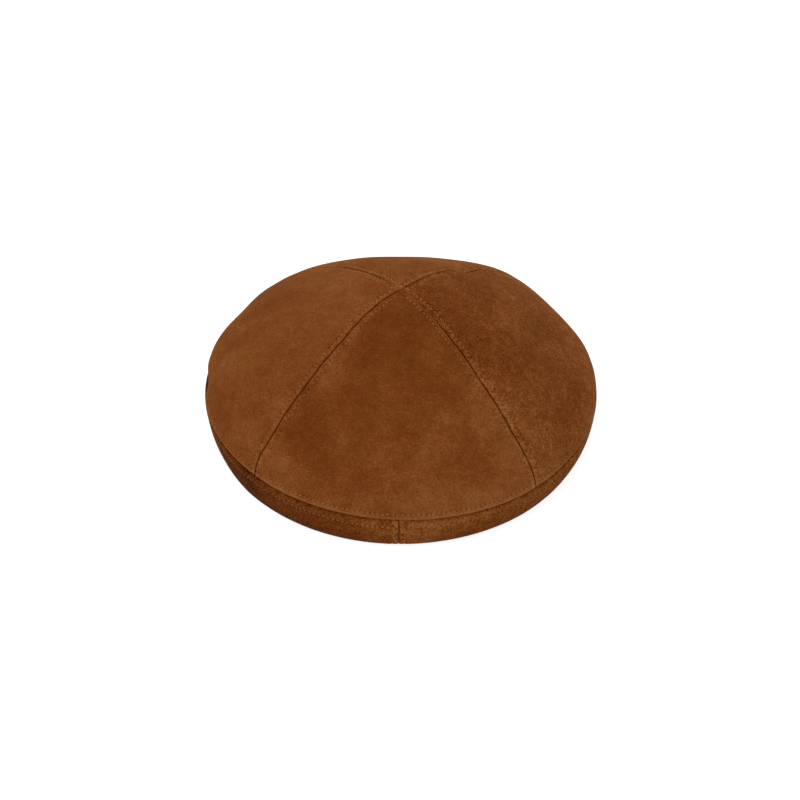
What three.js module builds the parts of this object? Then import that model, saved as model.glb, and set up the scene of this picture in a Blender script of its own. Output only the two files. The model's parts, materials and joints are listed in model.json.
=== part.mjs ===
// A suede beret standing on a table. Four crown panels meet at the top and are sewn along the rim to an
// under panel in two halves, which stands up as a low band, folds at the table and lies flat as far as the
// head opening. Millimetres, +Z up. The origin is on the table below the middle of the rim, and the front
// faces -Y.

import * as THREE from "three";
import { mergeVertices } from "three/addons/utils/BufferGeometryUtils.js";

const { degToRad, euclideanModulo } = THREE.MathUtils;

// Driving sizes
const CROWN_DIAMETER = 270; // at the widest, just above the rim seam
const HEAD_GIRTH = 570; // round the head opening
const WALL = 1.5; // thickness of the suede
const SEAM_GAP = 0.4; // between two sewn edges
const HEM_WIDTH = 9; // turned edge of the head opening, two layers thick

// Crown
const APEX_SLOPE = 1.5; // degrees below level, where the seams cross
const APEX_SHIFT = { right: 1, back: 6 }; // where the seams cross, from above the middle of the rim
const SQUARENESS = 0.025; // how far the seams stand out and the panels lie in, half way down

// Seams in order round the beret, each with the piece that follows it. The turn is in degrees from the front
// towards +X, at the rim. The bow is how much further round the seam lies half way down, and the swing how
// much further at its top end.
const CROWN_SEAMS = [
  { turn: -45.3, bow: 0.8, swing: -30, next: "crown_panel_front" },
  { turn: 41.5, bow: -1.5, swing: 24, next: "crown_panel_right" },
  { turn: 136, bow: 3, swing: 8, next: "crown_panel_back" },
  { turn: 220, bow: 0, swing: 0, next: "crown_panel_left" },
];
const UNDER_SEAMS = [
  { turn: 0, bow: 0, swing: 0, next: "under_panel_right" },
  { turn: 180, bow: 0, swing: 0, next: "under_panel_left" },
];

const SWING_REACH = 22; // how far from the top the swing dies out

// Seams are drawn in by their stitches
const SEAM_PULL = 1.0;
const SEAM_PULL_WIDTH = 5;

// Each row is an arc that follows on from the last. Its share is of the crown's radius, and its slope is in
// degrees below level, so that 90 is straight down and 180 is level and inwards. Both are where the arc ends.
const CROWN_ARCS = [
  { name: "top", endShare: 0.3, endSlope: 18, steps: 5 },
  { name: "dome", endShare: 0.948, endSlope: 47.5, steps: 9 },
  { name: "shoulder", endShare: 1.0, endSlope: 82, steps: 4 },
  { name: "rolled edge", endShare: 0.983, endSlope: 175, steps: 4 },
];
const BAND_START = { share: 0.984, slope: 5 };
const BAND_ARCS = [
  { name: "rolled edge", endShare: 0.997, endSlope: 90, steps: 4 },
  { name: "band", endShare: 0.9575, endSlope: 116, steps: 4 },
  { name: "fold", endShare: 0.94, endSlope: 180, steps: 4 },
];

// The rim seam is tipped: highest at this turn, in degrees, and as much lower on the other side
const RIM_TIP_TURN = -80;
const RIM_TIP = 3.8;

// Soft dents of the crown, and bulges where the depth is below 0: where they lie, how wide and long they are,
// and how deep
const DENTS = [
  { name: "back panel", turn: 184, share: 0.78, across: 66, along: 40, depth: 4.9 },
  { name: "back right seam", turn: 140, share: 0.5, across: 14, along: 10, depth: 3.2 },
  { name: "left rim", turn: -92, share: 0.98, across: 17, along: 12, depth: 1.6 },
  { name: "left shoulder", turn: -119, share: 0.96, across: 20, along: 16, depth: 2.2 },
  { name: "back right bulge", turn: 141, share: 0.88, across: 24, along: 20, depth: -1.8 },
  { name: "right bulge", turn: 103, share: 0.99, across: 20, along: 12, depth: -1.4 },
  { name: "front right rim", turn: 58, share: 0.98, across: 30, along: 12, depth: 1.2 },
  { name: "right panel", turn: 92, share: 0.74, across: 30, along: 16, depth: 1.0 },
];

const RADIUS = CROWN_DIAMETER / 2;
const HEAD_RADIUS = HEAD_GIRTH / (2 * Math.PI);

// The grid of each piece
const CROWN_COLUMNS = 16;
const UNDER_COLUMNS = 26;
const COLUMN_CROWDING = 1.7; // above 1, columns lie closer together near the seams

// Points down a row of arcs: how far out each lies, how far it has dropped, its slope and its wall
function meridian(start, arcs) {
  const stations = [{ reach: start.share * RADIUS, drop: 0, slope: degToRad(start.slope), wall: WALL }];
  for (const arc of arcs) {
    const from = stations.at(-1);
    const endSlope = degToRad(arc.endSlope);
    const bend = (arc.endShare * RADIUS - from.reach) / (Math.sin(endSlope) - Math.sin(from.slope));
    for (let step = 1; step <= arc.steps; step++) {
      const slope = from.slope + ((endSlope - from.slope) * step) / arc.steps;
      stations.push({
        reach: from.reach + bend * (Math.sin(slope) - Math.sin(from.slope)),
        drop: from.drop + bend * (Math.cos(from.slope) - Math.cos(slope)),
        slope,
        wall: WALL,
      });
    }
  }
  return stations;
}

// The flat underside, from the end of the fold to the head opening, with its hem
function underside(fold) {
  const hemReach = HEAD_RADIUS + HEM_WIDTH;
  return [
    { reach: (fold.reach + hemReach) / 2, wall: WALL },
    { reach: hemReach, wall: WALL },
    { reach: hemReach - WALL / 2, wall: 2 * WALL },
    { reach: HEAD_RADIUS, wall: 2 * WALL },
  ].map((row) => ({ ...row, drop: fold.drop, slope: fold.slope }));
}

const crownStations = meridian({ share: 0, slope: APEX_SLOPE }, CROWN_ARCS);
const crownRise = crownStations.at(-1).drop;
const bandStations = meridian(BAND_START, BAND_ARCS);
const rimHeight = bandStations.at(-1).drop;
const underStations = [...bandStations, ...underside(bandStations.at(-1))];

function rimLift(turn) {
  return RIM_TIP * Math.cos(turn - degToRad(RIM_TIP_TURN));
}

// The shorter way round from one turn to another
function turnBetween(from, to) {
  return euclideanModulo(to - from + Math.PI, 2 * Math.PI) - Math.PI;
}

function dentDepth(turn, reach) {
  return DENTS.reduce((sum, dent) => {
    const across = (turnBetween(degToRad(dent.turn), turn) * reach) / dent.across;
    const along = (reach - dent.share * RADIUS) / dent.along;
    return sum + dent.depth * Math.exp(-across * across - along * along);
  }, 0);
}

// How far the stitches draw the suede in, at a distance from the seam
function seamPull(distance) {
  return SEAM_PULL * Math.exp(-((distance / SEAM_PULL_WIDTH) ** 2));
}

// The crown's section at a turn and a place across the panel, sunk in by a depth. Dents press the rolled edge
// straight in, so that it stays on the rim seam.
function crownSection(station, { turn, across, seamDistance, depth }) {
  const share = station.reach / RADIUS;
  const onSeam = -Math.cos(Math.PI * across); // 1 on a seam, -1 down a panel's middle
  const reach = station.reach * (1 + SQUARENESS * Math.sin(Math.PI * share) * onSeam);
  const sunk = depth + seamPull(seamDistance);
  const dent = dentDepth(turn, station.reach);
  const dentSlope = Math.min(station.slope, Math.PI / 2);
  return {
    reach: reach - sunk * Math.sin(station.slope) - dent * Math.sin(dentSlope),
    height: rimHeight + SEAM_GAP / 2 + crownRise - station.drop + rimLift(turn) * share ** 2
      - sunk * Math.cos(station.slope) - dent * Math.cos(dentSlope),
    shift: 1 - share,
  };
}

// The under panel's section at a turn, sunk in by a depth. The band follows the crown's dents at the rim seam,
// and less and less down to the fold.
function underSection(station, { turn, seamDistance, depth }) {
  const stretch = (rimHeight - SEAM_GAP / 2 + rimLift(turn)) / rimHeight;
  const sunk = depth + seamPull(seamDistance);
  const dent = dentDepth(turn, bandStations[0].reach) * (1 - station.drop / rimHeight);
  return {
    reach: station.reach - sunk * Math.sin(station.slope) - dent,
    height: (rimHeight - station.drop) * stretch - sunk * Math.cos(station.slope),
    shift: 0,
  };
}

// Places across a panel from -1 to 1, closer together near the seams
function acrossPanel(column, columns) {
  const even = (2 * column) / columns - 1;
  return Math.sign(even) * (1 - (1 - Math.abs(even)) ** COLUMN_CROWDING);
}

// A closed wall over a grid of columns and rows. place gives its corners, on outer side 0 and inner side 1.
function wallGeometry(columns, rows, place) {
  const positions = [];
  for (const side of [0, 1]) {
    for (let row = 0; row <= rows; row++) {
      for (let column = 0; column <= columns; column++) positions.push(...place(column, row, side));
    }
  }
  const corner = (side, row, column) => (side * (rows + 1) + row) * (columns + 1) + column;
  const index = [];
  const quad = (a, b, c, d) => index.push(a, b, c, a, c, d);
  for (let row = 0; row < rows; row++) {
    for (let column = 0; column < columns; column++) {
      const [right, below] = [column + 1, row + 1];
      quad(corner(0, row, column), corner(0, below, column), corner(0, below, right), corner(0, row, right));
      quad(corner(1, row, column), corner(1, row, right), corner(1, below, right), corner(1, below, column));
    }
  }
  for (let row = 0; row < rows; row++) {
    const below = row + 1;
    const last = columns;
    quad(corner(0, below, 0), corner(0, row, 0), corner(1, row, 0), corner(1, below, 0));
    quad(corner(0, row, last), corner(0, below, last), corner(1, below, last), corner(1, row, last));
  }
  for (let column = 0; column < columns; column++) {
    const right = column + 1;
    quad(corner(0, 0, column), corner(0, 0, right), corner(1, 0, right), corner(1, 0, column));
    quad(corner(0, rows, right), corner(0, rows, column), corner(1, rows, column), corner(1, rows, right));
  }
  return withoutFlatTriangles(positions, index);
}

// Merges corners that fall together, as at a panel's tip, and drops the triangles that this leaves empty
function withoutFlatTriangles(positions, index) {
  const loose = new THREE.BufferGeometry();
  loose.setAttribute("position", new THREE.Float32BufferAttribute(positions, 3));
  loose.setIndex(index);
  const merged = mergeVertices(loose);
  const kept = [];
  for (let i = 0; i < merged.index.count; i += 3) {
    const [a, b, c] = [0, 1, 2].map((k) => merged.index.getX(i + k));
    if (a !== b && b !== c && c !== a) kept.push(a, b, c);
  }
  merged.setIndex(kept);
  merged.computeVertexNormals();
  return merged;
}

// Where a seam lies at a station
function seamTurn(seam, station) {
  const bow = seam.bow * Math.sin((Math.PI * station.reach) / RADIUS);
  const swing = seam.swing * Math.exp(-station.reach / SWING_REACH);
  return degToRad(seam.turn + bow + swing);
}

// The piece between a seam and the one after it
function sewnPiece(seam, nextSeam, columns, stations, sectionAt, material) {
  const place = (column, row, side) => {
    const station = stations[row];
    const start = seamTurn(seam, station);
    const halfTurn = euclideanModulo(seamTurn(nextSeam, station) - start, 2 * Math.PI) / 2;
    const across = acrossPanel(column, columns);
    const turn = start + (1 + across) * halfTurn;
    const seamDistance = station.reach * halfTurn * (1 - Math.abs(across));
    const section = sectionAt(station, { turn, across, seamDistance, depth: side * station.wall });
    const reach = Math.max(section.reach, SEAM_GAP / 2 / Math.sin(halfTurn));
    const gapTurn = Math.asin(SEAM_GAP / 2 / reach);
    const placed = turn - across * gapTurn;
    return [
      section.shift * APEX_SHIFT.right + reach * Math.sin(placed),
      section.shift * APEX_SHIFT.back - reach * Math.cos(placed),
      section.height,
    ];
  };
  const mesh = new THREE.Mesh(wallGeometry(columns, stations.length - 1, place), material);
  mesh.name = seam.next;
  return mesh;
}

// The pieces between a ring of seams
function sewnRing(seams, columns, stations, sectionAt, material) {
  const ring = new THREE.Group();
  seams.forEach((seam, i) => {
    const nextSeam = seams[(i + 1) % seams.length];
    ring.add(sewnPiece(seam, nextSeam, columns, stations, sectionAt, material));
  });
  return ring;
}

const crownSuede = new THREE.MeshStandardMaterial({ color: 0x74401a, roughness: 0.95, metalness: 0 });
const underSuede = new THREE.MeshStandardMaterial({ color: 0x683717, roughness: 0.95, metalness: 0 });

const beret = new THREE.Group();
beret.add(sewnRing(CROWN_SEAMS, CROWN_COLUMNS, crownStations, crownSection, crownSuede));
beret.add(sewnRing(UNDER_SEAMS, UNDER_COLUMNS, underStations, underSection, underSuede));

export default beret;
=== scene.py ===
"""A suede beret: crown gores and an under panel as napped shells, sewn with topstitching thread."""

import json
import logging
import math
import random
from dataclasses import dataclass, field
from enum import Enum

import bmesh
import bpy
import numpy as np
from mathutils import Matrix, Vector, noise

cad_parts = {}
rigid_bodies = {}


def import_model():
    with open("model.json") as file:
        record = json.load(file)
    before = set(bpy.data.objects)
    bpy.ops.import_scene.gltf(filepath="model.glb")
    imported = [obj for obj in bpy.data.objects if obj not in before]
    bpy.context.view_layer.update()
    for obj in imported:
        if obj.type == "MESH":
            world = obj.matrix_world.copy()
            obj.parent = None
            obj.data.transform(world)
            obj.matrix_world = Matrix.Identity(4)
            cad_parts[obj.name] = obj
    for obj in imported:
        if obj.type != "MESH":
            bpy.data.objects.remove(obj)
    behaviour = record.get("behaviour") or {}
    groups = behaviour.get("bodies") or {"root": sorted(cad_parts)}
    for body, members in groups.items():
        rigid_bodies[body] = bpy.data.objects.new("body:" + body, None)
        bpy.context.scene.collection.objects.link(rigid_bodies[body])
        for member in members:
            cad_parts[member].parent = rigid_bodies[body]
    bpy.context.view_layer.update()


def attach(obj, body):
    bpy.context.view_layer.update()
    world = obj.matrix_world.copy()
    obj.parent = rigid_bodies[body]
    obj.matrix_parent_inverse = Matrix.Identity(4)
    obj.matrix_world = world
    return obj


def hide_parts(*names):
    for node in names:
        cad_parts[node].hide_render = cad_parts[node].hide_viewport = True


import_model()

LOG = logging.getLogger("beret")
MM = 0.001
BODY = "root"

Rgb = tuple[float, float, float]
Point = tuple[float, float, float]
Section = tuple[np.ndarray, np.ndarray, np.ndarray]

# Sizes of the sewn form, in mm and degrees. Turns go from the front towards +X.
CROWN_RADIUS = 270 / 2
HEAD_RADIUS = 570 / (2 * math.pi)
WALL = 1.3
APEX_SHIFT_RIGHT = 1.0
APEX_SHIFT_BACK = 6.0
SQUARENESS = 0.025
SWING_REACH = 22.0
RIM_TIP = 3.8
RIM_TIP_TURN = math.radians(-80)
HEM_WIDTH = 9.0
HEM_BEND = 1.5
HEM_STITCH_OFFSET = 7.0
HEM_VALLEY = 0.5
HEM_VALLEY_WIDTH = 0.8
STITCH_PITCH = 3.35

# The rim: how far its edges press into each other, how near it the panels' own seams draw shut, how far below
# it the band stands out fully at a nick, and the slopes between which a dent stops sagging and only goes in
RIM_PRESS = 0.14
RIM_CLOSURE = 3.5
LEDGE_DROP = 2.2
SAG_SLOPES = (math.radians(60), math.radians(82))

# How a seam wanders: sway and length of its wide and fine waves, and how far from the axis they set in
WIDE_SWAY, WIDE_WAVE = 0.22, 6.1
FINE_SWAY, FINE_WAVE = 0.10, 2.3
WANDER_START = (10.0, 40.0)

# Half widths of a panel between which the relief beside its seams sets in, and where a seam's gap is whole
RELIEF_START = (2.0, 9.0)
WHOLE_GAP_WIDTH = 3.0

# How far the groove of a closed seam goes down, and where it starts to open, as shares of the whole
CLOSED_ROLL = 0.15
OPENING_START = 0.4

# The suede's unevenness: the size of its waves, the distances from seams and rim over which it sets in, and
# the slopes, in radians, over which it ends below the band
SLACK_WAVE = 34.0
SLACK_FROM_SEAM = (2.0, 16.0)
SLACK_FROM_RIM = (4.0, 20.0)
SLACK_SLOPES = (1.8, 2.4)

# How much coarser the grain is beside the stitches, and where that lies from the seam
COARSENING = 0.8
COARSE_STRIP = (3.0, 2.5)


def smooth_step(value: np.ndarray, low: float, high: float) -> np.ndarray:
    """Rise smoothly from 0 at low to 1 at high.

    Args:
        value: Where to read the step.
        low: Where the step starts to rise.
        high: Where the step is whole.

    Returns:
        The step's height at each value.
    """
    share = np.clip((value - low) / (high - low), 0.0, 1.0)
    return share * share * (3.0 - 2.0 * share)


def bell(value: np.ndarray, centre: float, width: float) -> np.ndarray:
    """Return a bell curve of height 1 at its centre."""
    return np.exp(-(((value - centre) / width) ** 2))


class Side(Enum):
    """The seam of a panel that a row of stitches follows."""

    FIRST = -1.0
    SECOND = 1.0


@dataclass(frozen=True)
class Arc:
    """One arc of a meridian, which follows on from the one before.

    Attributes:
        end_share: Distance from the axis where the arc ends, as a share of the crown's radius.
        end_slope: Slope there, in degrees below level; 90 is straight down, 180 level and inwards.
        rows: Rows of faces along the arc.
    """

    end_share: float
    end_slope: float
    rows: int


@dataclass(frozen=True)
class Seam:
    """A seam between two panels.

    Attributes:
        turn: Where it meets the rim, in degrees.
        bow: How much further round it lies half way down, in degrees.
        swing: How much further round it lies at its top end, in degrees.
        closed_top: How far down from its top end its groove stays closed, in mm.
    """

    turn: float
    bow: float = 0.0
    swing: float = 0.0
    closed_top: float = 0.0

    def turn_at(self, reach: np.ndarray, run: np.ndarray) -> np.ndarray:
        """Find the seam's turn, with a slight wander as sewn by hand.

        Args:
            reach: Distances from the axis, in mm.
            run: Distances down the meridian, in mm.

        Returns:
            The turns, in radians.
        """
        bow = self.bow * np.sin(np.pi * reach / CROWN_RADIUS)
        swing = self.swing * np.exp(-reach / SWING_REACH)
        wander = WIDE_SWAY * np.sin(run / WIDE_WAVE + self.turn)
        wander = wander + FINE_SWAY * np.sin(run / FINE_WAVE + 2.0 * self.turn)
        wander *= smooth_step(reach, *WANDER_START) / np.maximum(reach, 1.0)
        return np.radians(self.turn + bow + swing) + wander


@dataclass(frozen=True)
class Spot:
    """A soft-edged spot on the beret.

    Attributes:
        turn: Where its middle lies round the beret, in degrees.
        share: Where its middle lies from the axis, as a share of the crown's radius.
        across: Its width round the beret, in mm.
        along: Its length down the skin, in mm.
        strength: Its depth in mm where it is a dent, or the shade it adds where it is a patch, mostly painted
            light and shade.
    """

    turn: float
    share: float
    across: float
    along: float
    strength: float

    def at(self, turn: np.ndarray, reach: np.ndarray) -> np.ndarray:
        """Read the spot at places on the skin.

        Args:
            turn: Turns round the beret, in radians.
            reach: Distances from the axis, in mm.

        Returns:
            The spot's strength there.
        """
        apart = (turn - math.radians(self.turn) + np.pi) % (2 * np.pi) - np.pi
        away = (apart * reach / self.across) ** 2 + ((reach - self.share * CROWN_RADIUS) / self.along) ** 2
        return self.strength * np.exp(-away)


@dataclass(frozen=True)
class SeamProfile:
    """How the suede turns into a seam and lies beside its topstitching, in mm.

    Attributes:
        roll_width: Width of the edge that turns down into the seam.
        roll_depth: Depth that it turns down to.
        pull: How far the seam as a whole is drawn in.
        pull_width: How far from the seam that reaches.
        puff: Rise of the double layer between the seam and its stitches.
        stitch_offset: Distance of the stitches from the seam.
        valley: Depth of the line that the stitches draw in.
        shoulder: Rise of the suede beyond the stitches.
        gap: Width of the gap between the two edges.
        puff_place: Where the puff is highest, as a share of the stitches' distance.
        puff_width: Half its width, as such a share.
        valley_width: Half the valley's width.
        shoulder_place: Distance of the shoulder from the stitches.
        shoulder_width: Half its width.
    """

    roll_width: float
    roll_depth: float
    pull: float
    pull_width: float
    puff: float
    stitch_offset: float
    valley: float
    shoulder: float
    gap: float
    puff_place: float = 0.55
    puff_width: float = 0.32
    valley_width: float = 0.55
    shoulder_place: float = 2.0
    shoulder_width: float = 1.5

    def relief(self, distance: np.ndarray) -> np.ndarray:
        """Return the rise of the skin beside a seam, at distances from it."""
        offset = self.stitch_offset
        return (
            self.puff * bell(distance, self.puff_place * offset, self.puff_width * offset)
            - self.valley * bell(distance, offset, self.valley_width)
            + self.shoulder * bell(distance, offset + self.shoulder_place, self.shoulder_width)
            - self.pull * bell(distance, 0.0, self.pull_width)
        )


CROWN_PROFILE = SeamProfile(
    roll_width=0.42,
    roll_depth=1.1,
    pull=0.45,
    pull_width=5.0,
    puff=0.22,
    stitch_offset=3.5,
    valley=0.32,
    shoulder=0.10,
    gap=0.02,
)
UNDER_PROFILE = SeamProfile(
    roll_width=0.42,
    roll_depth=1.0,
    pull=0.25,
    pull_width=5.0,
    puff=0.20,
    stitch_offset=3.8,
    valley=0.30,
    shoulder=0.08,
    gap=0.02,
)

CROWN_ARCS = (Arc(0.3, 18.0, 34), Arc(0.948, 47.5, 78), Arc(1.0, 82.0, 26), Arc(0.983, 175.0, 14))
UNDER_ARCS = (
    Arc(0.997, 90.0, 12),
    Arc(0.9575, 116.0, 40),
    Arc(0.94, 180.0, 8),
    Arc((HEAD_RADIUS + HEM_BEND) / CROWN_RADIUS, 180.0, 26),
    Arc(HEAD_RADIUS / CROWN_RADIUS, 270.0, 5),
    Arc((HEAD_RADIUS + HEM_BEND) / CROWN_RADIUS, 360.0, 5),
    Arc((HEAD_RADIUS + HEM_WIDTH) / CROWN_RADIUS, 360.0, 8),
)
APEX_SLOPE = 1.5
BAND_START = Arc(0.984, 5.0, 0)

CROWN_SEAMS = (
    Seam(-45.3, 0.8, -20.0),
    Seam(41.5, -1.5, 10.0, closed_top=50.0),
    Seam(136.0, 3.0, 8.0),
    Seam(220.0, closed_top=26.0),
)
UNDER_SEAMS = (Seam(-0.5), Seam(180.0))

# Dents of the crown, in mm, and bulges where the depth is below 0
DENTS = (
    Spot(184, 0.78, 66, 40, 4.9),
    Spot(140, 0.5, 14, 10, 3.2),
    Spot(141, 0.88, 26, 20, -2.6),
    Spot(103, 0.99, 20, 12, -1.4),
    Spot(58, 0.98, 30, 12, 1.2),
    Spot(92, 0.74, 30, 16, 1.0),
)

# Dents of the crown's edge that the band stands out from
NICKS = (
    Spot(-89, 0.98, 15, 12, 3.3),
    Spot(-119, 0.96, 20, 16, 2.2),
)

# Patches of the panels, with the shade that each adds. A few are blots of the hide; most are painted light
# and shade:
# lighter fold ridges and strips beside the rim seam, darker creases, and areas painted lighter or darker for
# how the light falls on each panel
FRONT_PATCHES = (
    Spot(15, 0.22, 30, 22, -0.06),
    Spot(5, 0.36, 14, 10, -0.07),
    Spot(27, 0.60, 14, 14, -0.12),
    Spot(31, 0.72, 10, 16, 0.10),
    Spot(24, 0.45, 12, 14, 0.06),
    Spot(34, 0.92, 34, 16, 0.08),
    Spot(-9, 0.62, 10, 20, 0.13),
    Spot(2, 0.83, 26, 7, -0.08),
    Spot(-30, 0.80, 24, 24, -0.09),
    Spot(-38, 0.55, 8, 24, 0.07),
    Spot(-28, 0.58, 12, 18, -0.09),
    Spot(37.5, 0.77, 7, 10, 0.13),
    Spot(28, 0.99, 14, 5, 0.14),
    Spot(-20, 0.985, 14, 6, 0.13),
)
RIGHT_PATCHES = (
    Spot(58, 0.30, 26, 24, -0.08),
    Spot(115, 0.42, 22, 12, -0.07),
    Spot(96, 0.79, 13, 10, -0.10),
    Spot(80, 0.88, 14, 10, -0.05),
    Spot(61, 0.93, 10, 12, -0.06),
    Spot(78, 0.54, 4, 4, -0.12),
    Spot(63, 0.58, 4, 5, -0.11),
    Spot(75, 0.68, 4, 6, -0.08),
    Spot(95, 0.45, 8, 4, -0.12),
    Spot(130, 0.86, 30, 12, 0.10),
    Spot(49, 0.84, 12, 22, 0.10),
    Spot(44, 0.72, 6, 22, 0.12),
    Spot(82, 0.98, 20, 7, 0.16),
    Spot(60, 0.99, 18, 8, 0.08),
    Spot(47, 0.985, 14, 6, 0.14),
    Spot(44, 0.77, 5, 10, 0.08),
)
BACK_PATCHES = (
    Spot(190, 0.40, 30, 26, -0.10),
    Spot(150, 0.50, 16, 16, 0.12),
)
LEFT_PATCHES = (
    Spot(-113, 0.34, 22, 18, 0.13),
    Spot(-101, 0.83, 6, 22, 0.11),
    Spot(-111, 0.70, 8, 20, -0.10),
    Spot(-120, 0.84, 26, 16, -0.08),
    Spot(-93, 0.83, 5, 16, -0.07),
    Spot(-88, 0.91, 9, 8, 0.09),
    Spot(-65, 0.55, 18, 14, -0.08),
    Spot(-52, 0.78, 20, 16, 0.08),
)
# The band's patches are painted light and shade: lighter at the front, and painted shade along its foot, on
# its left and under the crown's nicks, where less light reaches it
UNDER_PAINTED_LIGHT_AND_SHADE = (
    Spot(8, 0.98, 66, 30, 0.12),
    Spot(-52, 0.97, 92, 30, -0.32),
    Spot(0, 0.955, 2000, 4.5, -0.18),
    Spot(2, 0.985, 20, 8, 0.10),
    Spot(-48.5, 0.985, 12, 8, -0.13),
    Spot(-88, 0.985, 24, 10, -0.40),
)


@dataclass
class Station:
    """Places down a meridian: distances from the axis, drops, slopes and runs, in mm and radians."""

    reach: np.ndarray
    drop: np.ndarray
    slope: np.ndarray
    run: np.ndarray


class Meridian:
    """The middle line of a panel, from its first edge to its last."""

    def __init__(self, start_share: float, start_slope: float, arcs: tuple[Arc, ...]) -> None:
        """Follow the arcs from a start.

        Args:
            start_share: Distance of the start from the axis, as a share of the crown's radius.
            start_slope: Slope at the start, in degrees below level.
            arcs: The arcs in order.
        """
        self.reach = [start_share * CROWN_RADIUS]
        self.drop = [0.0]
        self.slope = [math.radians(start_slope)]
        self.run = [0.0]
        for arc in arcs:
            self._follow(arc)

    def _follow(self, arc: Arc) -> None:
        """Add an arc, or a straight line where the slope stays the same.

        Args:
            arc: The arc.
        """
        reach, drop, slope, run = self.reach[-1], self.drop[-1], self.slope[-1], self.run[-1]
        end_slope = math.radians(arc.end_slope)
        ahead = arc.end_share * CROWN_RADIUS - reach
        turned = end_slope - slope
        for row in range(1, arc.rows + 1):
            share = row / arc.rows
            here = slope + turned * share
            if abs(turned) < 1e-9:
                self.reach.append(reach + ahead * share)
                self.drop.append(drop)
                self.run.append(run + abs(ahead) * share)
            else:
                bend = ahead / (math.sin(end_slope) - math.sin(slope))
                self.reach.append(reach + bend * (math.sin(here) - math.sin(slope)))
                self.drop.append(drop + bend * (math.cos(slope) - math.cos(here)))
                self.run.append(run + bend * turned * share)
            self.slope.append(here)

    @property
    def rows(self) -> int:
        """Return the number of rows of faces."""
        return len(self.run) - 1

    @property
    def length(self) -> float:
        """Return the length of the line, in mm."""
        return self.run[-1]

    def at(self, run: np.ndarray) -> Station:
        """Return the places at distances along the line."""
        columns = (np.interp(run, self.run, values) for values in (self.reach, self.drop, self.slope))
        return Station(*columns, run)


CROWN_MERIDIAN = Meridian(0.0, APEX_SLOPE, CROWN_ARCS)
UNDER_MERIDIAN = Meridian(BAND_START.end_share, BAND_START.end_slope, UNDER_ARCS)
CROWN_RISE = CROWN_MERIDIAN.drop[-1]
RIM_HEIGHT = max(UNDER_MERIDIAN.drop)
HEM_STITCH_RUN = (
    UNDER_MERIDIAN.length - (HEM_WIDTH - HEM_BEND) - math.pi * HEM_BEND - (HEM_STITCH_OFFSET - HEM_BEND)
)


def dent_depth(dents: tuple[Spot, ...], turn: np.ndarray, reach: np.ndarray) -> np.ndarray:
    """Return how deep dents of the crown are at places on it, in mm."""
    return sum(dent.at(turn, reach) for dent in dents)


def rim_lift(turn: np.ndarray) -> np.ndarray:
    """Return how far the tipped rim seam stands above its mean height, in mm."""
    return RIM_TIP * np.cos(turn - RIM_TIP_TURN)


@dataclass(frozen=True)
class RimProfile:
    """How a panel lies beside the rim seam, in mm along its skin from its rolled edge.

    Attributes:
        stitch_run: Distance of the stitches from the edge.
        puff: Rise of the double layer between them.
        puff_width: Half the width of that rise.
        valley: Depth of the line that the stitches draw in.
        puff_place: Where the rise is highest, as a share of the stitches' distance.
        valley_width: Half the width of that line.
    """

    stitch_run: float
    puff: float
    puff_width: float
    valley: float
    puff_place: float = 0.62
    valley_width: float = 0.6

    def relief(self, distance: np.ndarray) -> np.ndarray:
        """Return the rise of the skin at distances from the rim's edge."""
        rise = self.puff * bell(distance, self.puff_place * self.stitch_run, self.puff_width)
        return rise - self.valley * bell(distance, self.stitch_run, self.valley_width)


CROWN_RIM = RimProfile(stitch_run=6.4, puff=0.35, puff_width=1.4, valley=0.45)
UNDER_RIM = RimProfile(stitch_run=7.4, puff=0.25, puff_width=1.8, valley=0.40)


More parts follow.
